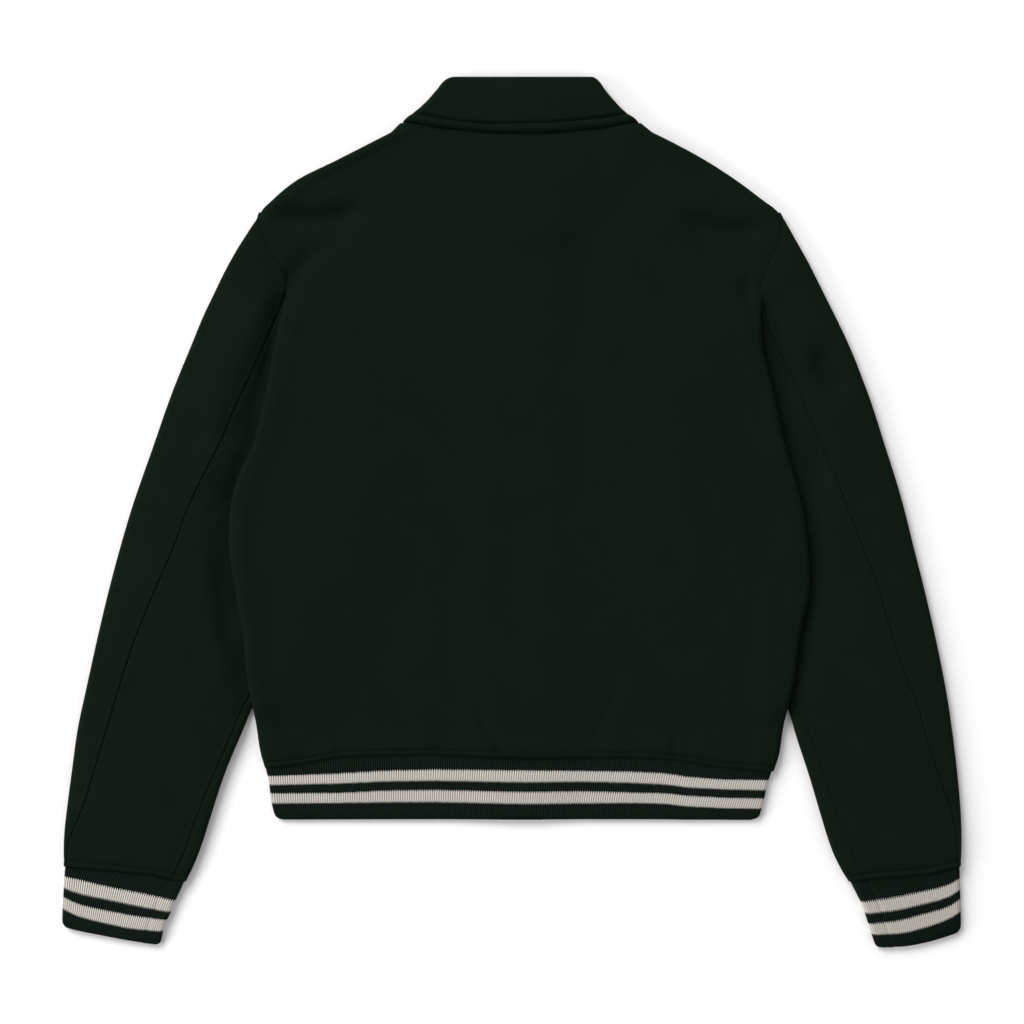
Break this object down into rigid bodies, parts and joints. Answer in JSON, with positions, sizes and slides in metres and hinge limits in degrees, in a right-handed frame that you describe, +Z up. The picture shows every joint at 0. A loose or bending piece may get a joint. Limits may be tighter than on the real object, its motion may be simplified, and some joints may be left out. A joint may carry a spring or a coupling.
{
  "type": "varsity jacket, laid flat on its front",
  "caption": "Dark green varsity jacket laid flat on its front, back up, with a turned-down collar and striped ribbed cuffs and hem.",
  "frame": {"origin": "middle of the jacket's box, on the surface that it rests on", "axes": "+X towards the right sleeve, across both sleeves; +Y towards the collar; +Z up, out of the jacket's back"},
  "size_m": [0.81, 0.784, 0.014],
  "materials": {
    "melton": "matte dark green wool melton",
    "rib": "matte ribbed knit with two cream stripes",
    "snap": "satin"
  },
  "bodies": {
    "root": {"back": "melton", "front_left": "melton", "front_right": "melton", "sleeve_top_left": "melton", "sleeve_under_left": "melton", "sleeve_top_right": "melton", "sleeve_under_right": "melton", "cuff_left": "rib", "cuff_right": "rib", "hem_rib": "rib", "collar_leaf": "melton", "collar_stand": "melton", "snap_1": "snap", "snap_2": "snap", "snap_3": "snap", "snap_4": "snap", "snap_5": "snap", "snap_6": "snap", "snap_7": "snap"}
  },
  "joints": []
}
